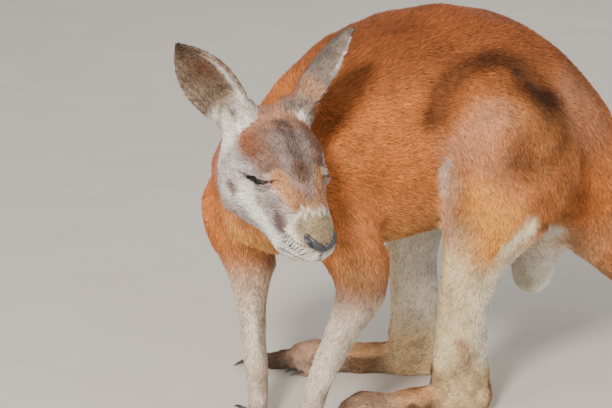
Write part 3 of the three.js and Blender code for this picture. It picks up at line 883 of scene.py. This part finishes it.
def tufts(root, normal, flow, length, width, lift):
    """Slim folded leaves of hair: root, left, right and tip of each, and how each leaf faces."""
    count = len(root)
    swing = RNG.normal(0, 0.16, count)[:, None]
    side = np.cross(normal, flow)
    run = np.cos(swing) * flow + np.sin(swing) * side
    side = np.cross(normal, run)
    length = (length * RNG.uniform(0.7, 1.2, count) / 1000)[:, None]
    width = (width * RNG.uniform(0.75, 1.25, count) / 1000)[:, None]
    lift = np.radians(lift + RNG.normal(0, 3, count))[:, None]
    rise = np.sin(lift) * length
    base = root - 0.0004 * normal - 0.06 * length * run
    shoulder = root + 0.4 * length * run + 0.22 * rise * normal
    tip = root + np.cos(lift) * length * run + 0.95 * rise * normal
    tip = tip + RNG.normal(0, 0.08, count)[:, None] * length * side
    corners = np.stack([base, shoulder + 0.5 * width * side, shoulder - 0.5 * width * side, tip], 1)
    facing = unit(normal + RNG.normal(0, 0.24, (count, 3)) - 0.12 * run)
    return corners, np.stack([facing, unit(facing + 0.35 * side), unit(facing - 0.35 * side), facing], 1)


LEAF = np.array([(0, 2, 3), (0, 3, 1)])
SHADE = np.array([0.62, 0.93, 0.93, 1.14])     # how bright a leaf is at its root, sides and tip
CORNERS = np.array([(0, -1), (-1, 0), (1, 0), (0, 1)]) * PATCH


def coat_piece(name, corners, facing, colours, uvs, material):
    count = len(corners)
    faces = (np.arange(count)[:, None, None] * 4 + LEAF).reshape(-1, 3)
    flat = corners.reshape(-1, 3)
    flat[:, 2] = np.maximum(flat[:, 2], HAIR_GAP)
    piece = mesh_piece(name, flat, faces)
    shades = np.clip(colours[:, None] * SHADE[None, :, None], 0, 1)
    add_colours(piece.data, shades.reshape(-1, 3))
    layer = piece.data.uv_layers.new(name="OFBake")
    spread = (uvs[:, None] + CORNERS).reshape(-1, 2)[faces.ravel()]
    layer.data.foreach_set("uv", spread.astype(np.float32).ravel())
    piece.data.normals_split_custom_set_from_vertices(facing.reshape(-1, 3).astype(np.float32))
    piece.data.materials.append(material)
    return piece


def add_colours(mesh, colours):
    layer = mesh.color_attributes.new("Markings", "FLOAT_COLOR", "POINT")
    rgba = np.concatenate([colours, np.ones((len(colours), 1))], 1)
    layer.data.foreach_set("color", rgba.astype(np.float32).ravel())


# ---------- finishes ----------
class Wire:
    """A socket of a finish, so that sums of sockets read as sums."""

    def __init__(self, finish, socket):
        self.finish = finish
        self.socket = socket

    def _math(self, operation, first, second):
        return self.finish.node("ShaderNodeMath", {"operation": operation}, {0: first, 1: second})

    def __add__(self, other):
        return self._math("ADD", self, other)

    def __sub__(self, other):
        return self._math("SUBTRACT", self, other)

    def __rsub__(self, other):
        return self._math("SUBTRACT", other, self)

    def __mul__(self, other):
        return self._math("MULTIPLY", self, other)

    __radd__ = __add__
    __rmul__ = __mul__


class Finish:
    """A material; its constants go straight onto the shader's sockets."""

    def __init__(self, name, **constants):
        self.material = bpy.data.materials.new(name)
        self.material.use_nodes = True
        self.tree = self.material.node_tree
        self.shader = next(n for n in self.tree.nodes if n.type == "BSDF_PRINCIPLED")
        for socket, value in constants.items():
            self.shader.inputs[socket.replace("_", " ")].default_value = value
        self.place = self.node("ShaderNodeTexCoord", out="Object")

    def node(self, kind, settings=None, values=None, out=0):
        node = self.tree.nodes.new(kind)
        for key, value in (settings or {}).items():
            setattr(node, key, value)
        for key, value in (values or {}).items():
            if isinstance(value, Wire):
                self.tree.links.new(value.socket, node.inputs[key])
            else:
                node.inputs[key].default_value = value
        return Wire(self, node.outputs[out])

    def noise(self, scale, detail=3.0, roughness=0.55):
        return self.node("ShaderNodeTexNoise", None, {"Vector": self.place, "Scale": scale,
                                                      "Detail": detail, "Roughness": roughness})

    def mixed(self, share, first, second):
        return self.node("ShaderNodeMix", {"data_type": "RGBA"}, {0: share, 6: first, 7: second}, out=2)

    def bump(self, height, strength, distance):
        return self.node("ShaderNodeBump", None, {"Height": height, "Strength": strength,
                                                  "Distance": distance})

    def markings(self):
        return self.node("ShaderNodeAttribute", {"attribute_name": "Markings"}, out="Color")

    def feeds(self, **sockets):
        for name, wire in sockets.items():
            self.tree.links.new(wire.socket, self.shader.inputs[name.replace("_", " ")])
        return self.material


def hair_finish(name, roughness, depth):
    finish = Finish(name, Specular_IOR_Level=0.22, Sheen_Weight=0.04, Sheen_Roughness=0.4)
    locks = finish.noise(70.0, 3.0, 0.6)
    hairs = finish.noise(420.0, 2.0, 0.7)
    share = (locks - 0.5) * 0.6 + (hairs - 0.5) * 0.8 + 0.08
    shade = finish.mixed(share, finish.markings(), (0.03, 0.016, 0.010, 1))
    bump = finish.bump(hairs, 0.35, depth)
    return finish.feeds(Base_Color=shade, Roughness=finish.noise(90.0) * 0.2 + roughness, Normal=bump)


def horn_finish():
    finish = Finish("black_horn", Specular_IOR_Level=0.45)
    grain = finish.noise(180.0, 4.0, 0.6)
    worn = finish.mixed(finish.noise(60.0), (0.012, 0.010, 0.010, 1), (0.06, 0.045, 0.038, 1))
    bump = finish.bump(grain, 0.25, 0.0004)
    return finish.feeds(Base_Color=worn, Roughness=grain * 0.3 + 0.28, Normal=bump)


def nose_finish():
    finish = Finish("naked_nose", Specular_IOR_Level=0.5, Coat_Weight=0.35, Coat_Roughness=0.28)
    pebbles = finish.node("ShaderNodeTexVoronoi", None, {"Vector": finish.place, "Scale": 620.0},
                          out="Distance")
    tint = finish.mixed(finish.noise(140.0) * 0.6, finish.markings(), (0.020, 0.018, 0.020, 1))
    return finish.feeds(Base_Color=tint, Roughness=finish.noise(200.0) * 0.2 + 0.3,
                        Normal=finish.bump(pebbles, 0.4, 0.0005))


def dark_finish(name, grain, tints, wear, swing, roughness, **constants):
    """A dark finish between two tints, with a roughness that varies by the swing."""
    finish = Finish(name, **constants)
    tint = finish.mixed(finish.noise(grain), *tints)
    return finish.feeds(Base_Color=tint, Roughness=finish.noise(wear) * swing + roughness)


def eye_finish():
    tints = (0.010, 0.006, 0.005, 1), (0.035, 0.018, 0.010, 1)
    return dark_finish("wet_eye", 120.0, tints, 60.0, 0.1, 0.25,
                       Specular_IOR_Level=0.4, Coat_Weight=0.2, Coat_Roughness=0.2)


def lid_finish():
    tints = (0.010, 0.008, 0.008, 1), (0.030, 0.022, 0.020, 1)
    return dark_finish("lid_rims", 300.0, tints, 200.0, 0.2, 0.4, Specular_IOR_Level=0.4)


def lash_finish():
    tints = (0.010, 0.008, 0.008, 1), (0.035, 0.026, 0.022, 1)
    return dark_finish("dark_hairs", 200.0, tints, 90.0, 0.2, 0.45, Specular_IOR_Level=0.3)


# ---------- the pieces ----------
def finished(piece, slot, *nodes):
    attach(piece, "root")
    if nodes:
        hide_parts(*nodes)
    return piece


def bake_map(piece):
    """An unwrap named OFBake."""
    bpy.ops.object.select_all(action="DESELECT")
    bpy.context.view_layer.objects.active = piece
    piece.select_set(True)
    for layer in list(piece.data.uv_layers):
        piece.data.uv_layers.remove(layer)
    piece.data.uv_layers.new(name="OFBake")
    bpy.ops.object.mode_set(mode="EDIT")
    bpy.ops.mesh.select_all(action="SELECT")
    bpy.ops.uv.smart_project(angle_limit=math.radians(66), island_margin=0.001)
    bpy.ops.object.mode_set(mode="OBJECT")


def sweeping(sides):
    """Nodes that draw round lengths along curves, as thick as their girth says."""
    tree = bpy.data.node_groups.new("sweeping", "GeometryNodeTree")
    tree.interface.new_socket("Geometry", in_out="INPUT", socket_type="NodeSocketGeometry")
    tree.interface.new_socket("Sides", in_out="INPUT", socket_type="NodeSocketInt").default_value = sides
    tree.interface.new_socket("Finish", in_out="INPUT", socket_type="NodeSocketMaterial")
    tree.interface.new_socket("Geometry", in_out="OUTPUT", socket_type="NodeSocketGeometry")
    given = tree.nodes.new("NodeGroupInput")
    made = tree.nodes.new("NodeGroupOutput")
    lines = tree.nodes.new("GeometryNodeMeshToCurve")
    ring = tree.nodes.new("GeometryNodeCurvePrimitiveCircle")
    ring.inputs["Radius"].default_value = 1.0
    girth = tree.nodes.new("GeometryNodeInputNamedAttribute")
    girth.data_type = "FLOAT"
    girth.inputs["Name"].default_value = "girth"
    sweep = tree.nodes.new("GeometryNodeCurveToMesh")
    sweep.inputs["Fill Caps"].default_value = True
    finish = tree.nodes.new("GeometryNodeSetMaterial")
    real = tree.nodes.new("GeometryNodeRealizeInstances")
    for giver, outlet, taker, inlet in (
            (given, "Geometry", lines, "Mesh"), (given, "Sides", ring, "Resolution"),
            (lines, "Curve", sweep, "Curve"), (ring, "Curve", sweep, "Profile Curve"),
            (girth, "Attribute", sweep, "Scale"), (sweep, "Mesh", real, "Geometry"),
            (real, "Geometry", finish, "Geometry"), (given, "Finish", finish, "Material"),
            (finish, "Geometry", made, "Geometry")):
        tree.links.new(giver.outputs[outlet], taker.inputs[inlet])
    return tree


def swept(name, paths, radii, sides, material):
    """Tapered hairs, rims or claws in one mesh: rows of points, and half the thickness at each point."""
    lengths = [len(path) for path in paths]
    ends = np.cumsum(lengths)
    first = np.arange(ends[-1] - 1)
    first = first[~np.isin(first, ends - 1)]
    mesh = bpy.data.meshes.new(name + "_lines")
    mesh.from_pydata(np.concatenate(paths).tolist(), np.stack([first, first + 1], 1).tolist(), [])
    girth = mesh.attributes.new("girth", "FLOAT", "POINT")
    girth.data.foreach_set("value", np.concatenate(radii).astype(np.float32))
    piece = placed(name, mesh)
    nodes = piece.modifiers.new("sweep", "NODES")
    nodes.node_group = sweeping(sides)
    finish = next(item for item in nodes.node_group.interface.items_tree if item.name == "Finish")
    nodes[finish.identifier] = material
    piece.data = bpy.data.meshes.new_from_object(piece.evaluated_get(bpy.context.evaluated_depsgraph_get()))
    piece.modifiers.clear()
    piece.data.shade_smooth()
    return piece


def stoutness(p):
    return np.linalg.norm(p - p.mean(0), axis=1).max()


def claw(node):
    """A horn's path and half thickness along its solid: thick at the root, curved down to its point."""
    p = points_of(NODES[node].data)
    centre = p.mean(0)
    run = unit(np.linalg.svd(p - centre, full_matrices=False)[2][0])
    reach = (p - centre) @ run
    first, last = reach < np.percentile(reach, 25), reach > np.percentile(reach, 75)
    if stoutness(p[first]) < stoutness(p[last]):
        run, reach, first = -run, -reach, last
    root = p[reach <= reach.min() + 0.25 * np.ptp(reach)].mean(0)
    root = centre + run * reach.min() + (root - centre - run * dot(root - centre, run))
    tip = p[reach.argmax()]
    radius = np.linalg.norm((p - root) - ((p - root) @ run)[:, None] * run, axis=1)[first].max() * 0.86
    t = np.linspace(0, 1, 9)[:, None]
    bow = np.array([0, 0, 1.0]) * np.linalg.norm(tip - root) * 0.10
    path = root + (tip - root) * t + bow * 4 * t * (1 - t)
    girth = radius * (1 - t[:, 0] ** 1.7) ** 0.8 + CLAW_POINT
    path[:, 2] = np.maximum(path[:, 2], girth)
    return path, girth


def eyeball(side, sign, material):
    """A ball behind the lids."""
    net = bmesh.new()
    bmesh.ops.create_icosphere(net, subdivisions=4, radius=EYE_RADIUS / 1000)
    ball = bpy.data.meshes.new("ball_" + side)
    net.to_mesh(ball)
    net.free()
    places = points_of(ball) + from_head(EYE * np.array([1, sign, 1]))
    piece = mesh_piece("eyeball_" + side, places, triangles_of(ball))
    piece.data.materials.append(material)
    return piece


def on_skin(q, centre, spread, stand):
    """Head places moved along their rays from a centre inside the head, to stand on its skin."""
    rays = HEAD_PLACES - centre
    far = np.linalg.norm(rays, axis=1)
    ways = unit(rays)
    aims = unit(q - centre)
    found = []
    for aim in aims:
        turn = (ways @ aim - 1) / spread ** 2
        weight = np.exp(turn - turn.max())
        found.append((weight * far).sum() / weight.sum())
    return centre + aims * (np.array(found) + stand)[:, None]


def nose(material):
    """The naked pad: a V under the furred top of the nose, with a nostril in each wing."""
    u, v = np.meshgrid(np.linspace(-1, 1, 61), np.linspace(-1, 1, 17))
    u, v = u.ravel(), v.ravel()
    across = np.abs(u)
    line, half = pad_form(across)
    q = np.stack([SNOUT[0] + 26 - 9 * across ** 2, u * PAD_HALF,
                  line + v * half * np.sqrt(1 - 0.97 * u ** 8)], 1)
    dome = np.sqrt(np.clip(1 - v ** 4, 0, 1)) * np.sqrt(np.clip(1 - u ** 6, 0, 1))
    groove = hump(q[:, 1], 1.1)
    nostril = hump(v - 2.2 * (across - 0.74), 0.36)
    nostril = nostril * ramp(0.40, 0.55, across) * ramp(1.0, 0.9, across)
    front = on_skin(q, SNOUT, 0.05, 3.1 * dome - 0.3 - 1.3 * groove - 2.4 * nostril)
    back = on_skin(q, SNOUT, 0.05, -4.0)
    index = np.arange(len(u)).reshape(17, 61)
    a, b = index[:-1, :-1].ravel(), index[:-1, 1:].ravel()
    c, d = index[1:, 1:].ravel(), index[1:, :-1].ravel()
    rim = np.concatenate([index[0, :-1], index[:-1, -1], index[-1, :0:-1], index[:0:-1, 0]])
    after = np.roll(rim, -1)
    under = len(u)
    faces = np.concatenate([np.stack([a, b, c, d], 1), np.stack([a, d, c, b], 1) + under,
                            np.stack([after, rim, rim + under, after + under], 1)])
    piece = mesh_piece("nose", from_head(np.concatenate([front, back])), faces)
    # painted shade in the sunken nostrils and in the groove down the pad's middle
    hollow = np.clip(1.6 * nostril + 0.8 * groove, 0, 1)
    leather = painted(np.tile(tone(LEATHER), (len(u), 1)), ((12, 11, 12), hollow))
    add_colours(piece.data, np.tile(leather, (2, 1)))
    piece.data.materials.append(material)
    return piece


def on_lids(sign, a, up, stand):
    """Places beside the slit of one eye, standing on its lids."""
    q = EYE + np.stack([a + SLIT_MIDDLE, np.full(len(a), 14.0), up + slit_line(a)], 1) @ SLIT_AXES
    q[:, 1] *= sign
    return on_skin(q, EYE * np.array([1, sign, 1]), 0.05, stand)


def drawn(foot, aim, reach, droop, count=6):
    """A hair from its foot, bending as it goes."""
    t = np.linspace(0, 1, count)[:, None]
    return from_head(foot + np.asarray(aim) * reach * t + np.asarray(droop) * reach * t ** 2)


def stage():
    """The pale floor that the model stands on."""
    size = 9.0
    corners = np.array([(-size, -size, 0), (size, -size, 0), (size, size, 0), (-size, size, 0)])
    floor = mesh_piece("floor", corners, np.array([[0, 1, 2, 3]]))
    finish = Finish("pale_floor", Specular_IOR_Level=0.2)
    speck = finish.mixed(finish.noise(6.0, 5.0), (0.60, 0.56, 0.50, 1), (0.68, 0.64, 0.58, 1))
    floor.data.materials.append(finish.feeds(Base_Color=speck, Roughness=finish.noise(30.0) * 0.1 + 0.8))
    world = bpy.data.worlds.new("studio")
    world.use_nodes = True
    background = world.node_tree.nodes["Background"]
    background.inputs["Color"].default_value = (0.93, 0.94, 0.97, 1)
    background.inputs["Strength"].default_value = 0.5
    bpy.context.scene.world = world


def light(name, place, target, size, power, colour):
    data = bpy.data.lights.new(name, "AREA")
    data.shape = "DISK"
    data.size = size
    data.energy = power
    data.color = colour
    lamp = placed(name, data)
    lamp.location = place
    lamp.rotation_euler = (Vector(target) - Vector(place)).to_track_quat("-Z", "Y").to_euler()


def camera():
    target = Vector(at(0, 75, 270))
    place = Vector(at(-790.8, -2682.9, 1147.1))
    data = bpy.data.cameras.new("camera")
    data.sensor_width = 36.0
    data.lens = 127.06
    eye = placed("camera", data)
    eye.location = place
    eye.rotation_euler = (target - place).to_track_quat("-Z", "Y").to_euler()
    bpy.context.scene.camera = eye


camera()
stage()
light("key", (-2.5, -3.2, 2.9), (-0.1, 0.0, 0.25), 0.8, 250.0, (1.0, 0.94, 0.85))
light("fill", (2.6, -2.8, 1.6), (0.0, 0.0, 0.3), 2.4, 45.0, (1.0, 0.97, 0.94))
light("rim", (0.8, 2.9, 2.4), (0.0, 0.0, 0.3), 1.8, 26.0, (1.0, 0.98, 0.94))
light("low", (-3.0, -1.3, 0.9), (0.0, 0.0, 0.15), 1.6, 50.0, (1.0, 0.92, 0.8))

# the skin
points, quads, owner_of, outside = flesh_surface()
mesh = thinned(points, quads, owner_of)
p, t = outer_shell(*opened_at_the_eyes(mesh))
owner = owner_of(p)
web = Web(t, len(p))
SOFTNESS = {"head": 0.16, "ear": 0.10, "hand": 0.10, "foot": 0.12, "shank": 0.5, "forearm": 0.5,
            "upper_arm": 0.8, "scrotum": 0.5, "tail": 0.7, "neck": 1.0, "trunk": 1.0, "thigh": 1.0}
p = web.even(p, 50, web.even(for_flesh(SOFTNESS)[owner], 6))
for _ in range(2):
    n = normals_of(p, t)
    p = p - n * web.even(outside(p) + UNDER, 24)[:, None]
n = normals_of(p, t)
depth, length, width, lift, full = skin_measures(p, n, owner, web)
n = web.even(n, 3)
p = p - unit(n) * ((depth / 1000 - UNDER)[:, None])
p = shaped_haunch(p, n, owner)
p = shaped_face(p)
p[:, 2] = np.maximum(p[:, 2], SKIN_GAP)
n = normals_of(p, t)
furred = ~in_nodes(owner, ("head", "ear", "hand")) * 1.0
mottle = web.even(RNG.normal(0, 1, (len(p), 2)), 5)
clumps = web.even(RNG.normal(0, 1, (len(p), 1)), 26)
mottle = mottle / mottle.std(0)
clumps = clumps / clumps.std()
p = p + n * (furred * (MOTTLE_RISE * mottle[:, 0] + CLUMP_RISE * clumps[:, 0]) / 1000)[:, None]
p[:, 2] = np.maximum(p[:, 2], SKIN_GAP)
n = normals_of(p, t)
colour = markings(p, n, owner, web, clumps[:, 0])
colour = colour * (1 + 0.10 * mottle[:, :1] + 0.06 * clumps)
flow = lie_of_the_coat(p, n, owner)
flow = web.even(flow, 20, 0.9)
flow = flow + (0.20 * furred * mottle[:, 1] + 0.14 * furred * clumps[:, 0])[:, None] * np.cross(n, flow)
flow = unit(flow - dot(flow, n)[:, None] * n)
skin = mesh_piece("skin", p, t)
add_colours(skin.data, colour * UNDERCOAT)
skin.data.materials.append(hair_finish("short_coat", 0.72, 0.0009))
bake_map(skin)
finished(skin, "coat", *FLESH)

# the coat
chosen, share = sown(p, t, full, length, width)
root, upright, run, tints, sizes = (
    (values[t[chosen]] * share[:, :, None]).sum(1)
    for values in (p, n, flow, colour, np.stack([length, width, lift], 1)))
corners, facing = tufts(root, unit(upright), unit(run), *sizes.T)
owners = owner[t[chosen, 0]]
vary = RNG.normal(1.0, 0.13, (len(root), 1)) * (1 + RNG.normal(0, 0.03, (len(root), 3)))
speckle = RNG.choice([0.42, 1.0, 1.32], len(root), p=[0.17, 0.65, 0.18])
speckle = np.where(in_nodes(owners, ("head", "ear")), speckle, 1 + 0.55 * (speckle - 1))
tints = tints * vary * speckle[:, None]
spots = in_nodes(owners, "head") * whisker_spots(mirrored(to_head(root)))
tints = np.clip(painted(tints, (BLACK, 0.85 * spots)), 0, 1)
uvs = (corner_uvs(skin.data)[chosen] * share[:, :, None]).sum(1)
GROUPS = {"coat_head": ("head",), "coat_ears": ("ear",), "coat_neck": ("neck",), "coat_trunk": ("trunk",),
          "coat_thighs": ("thigh", "scrotum"), "coat_shanks": ("shank",), "coat_feet": ("foot",),
          "coat_arms": ("upper_arm", "forearm", "hand"), "coat_tail": ("tail",)}
LEAVES = 96000           # how many tufts one piece has at most
hair = hair_finish("locks", 0.66, 0.0004)
for name, prefixes in GROUPS.items():
    members = np.nonzero(in_nodes(owners, prefixes))[0]
    members = members[np.argsort(root[members, 0])]
    parts = max(1, math.ceil(len(members) / LEAVES))
    for k, some in enumerate(np.array_split(members, parts)):
        label = name if parts == 1 else "%s_%d" % (name, k + 1)
        finished(coat_piece(label, corners[some], facing[some], tints[some], uvs[some], hair), "coat")

# the eyes, nose and claws
wet = eye_finish()
for side, sign in (("l", 1), ("r", -1)):
    finished(eyeball(side, sign, wet), "eye", "eye_" + side)
HEAD_PLACES = to_head(p[in_nodes(owner, "head")])
finished(nose(nose_finish()), "nose", "nose_pad")
horn = horn_finish()
finished(swept("claws", *zip(*map(claw, CLAWS)), 14, horn), "claw", *CLAWS)

# the lid rims, lashes and whiskers
rims, rim_radii, hairs, hair_radii = [], [], [], []
along_slit = np.linspace(-SLIT_HALF * 0.97, SLIT_HALF * 0.97, 33)
for sign in (1, -1):
    for share, thick in ((1, 0.95), (-1, 0.85)):
        edge = share * (gape(along_slit) + 0.7)
        rims.append(from_head(on_lids(sign, along_slit, edge, 0.9)))
        rim_radii.append(thick / 1000 * np.clip(1 - np.linspace(-1, 1, 33) ** 4, 0.15, 1))
    feet = np.linspace(-SLIT_HALF * 0.95, SLIT_HALF * 0.55, 46)
    for foot, fan in zip(on_lids(sign, feet, gape(feet) - 0.4, 0.4), np.linspace(-1, 0.6, 46)):
        aim = unit(np.array([0.75 * fan, 0.55, -0.75])) @ SLIT_AXES * np.array([1, sign, 1])
        hairs.append(drawn(foot, aim, 5.0 + 2.5 * RNG.random(), (0, 0, 0.25), 5))
        hair_radii.append(np.array([0.26, 0.24, 0.2, 0.15, 0.07]) / 1000)
    for row, height in enumerate(WHISKER_ROWS):
        for k in range(7):
            f = 66 + 5.4 * k + 2.4 * (row % 2)
            foot = on_skin(np.array([[f, sign * 26.0, height]]), np.array([f, 0.0, -46.0]), 0.08, 0.7)[0]
            aim = unit(np.array([-0.5 - 0.3 * RNG.random(), sign * 0.8, -0.5 - 0.3 * RNG.random()]))
            hairs.append(drawn(foot, aim, 4 + 15 * RNG.random() ** 2, (-0.15, 0, -0.2)))
            hair_radii.append(np.array([0.75, 0.4, 0.2, 0.14, 0.1, 0.05]) / 1000)
finished(swept("lid_rims", rims, rim_radii, 8, lid_finish()), "coat")
finished(swept("lashes_and_whiskers", hairs, hair_radii, 4, lash_finish()), "coat")
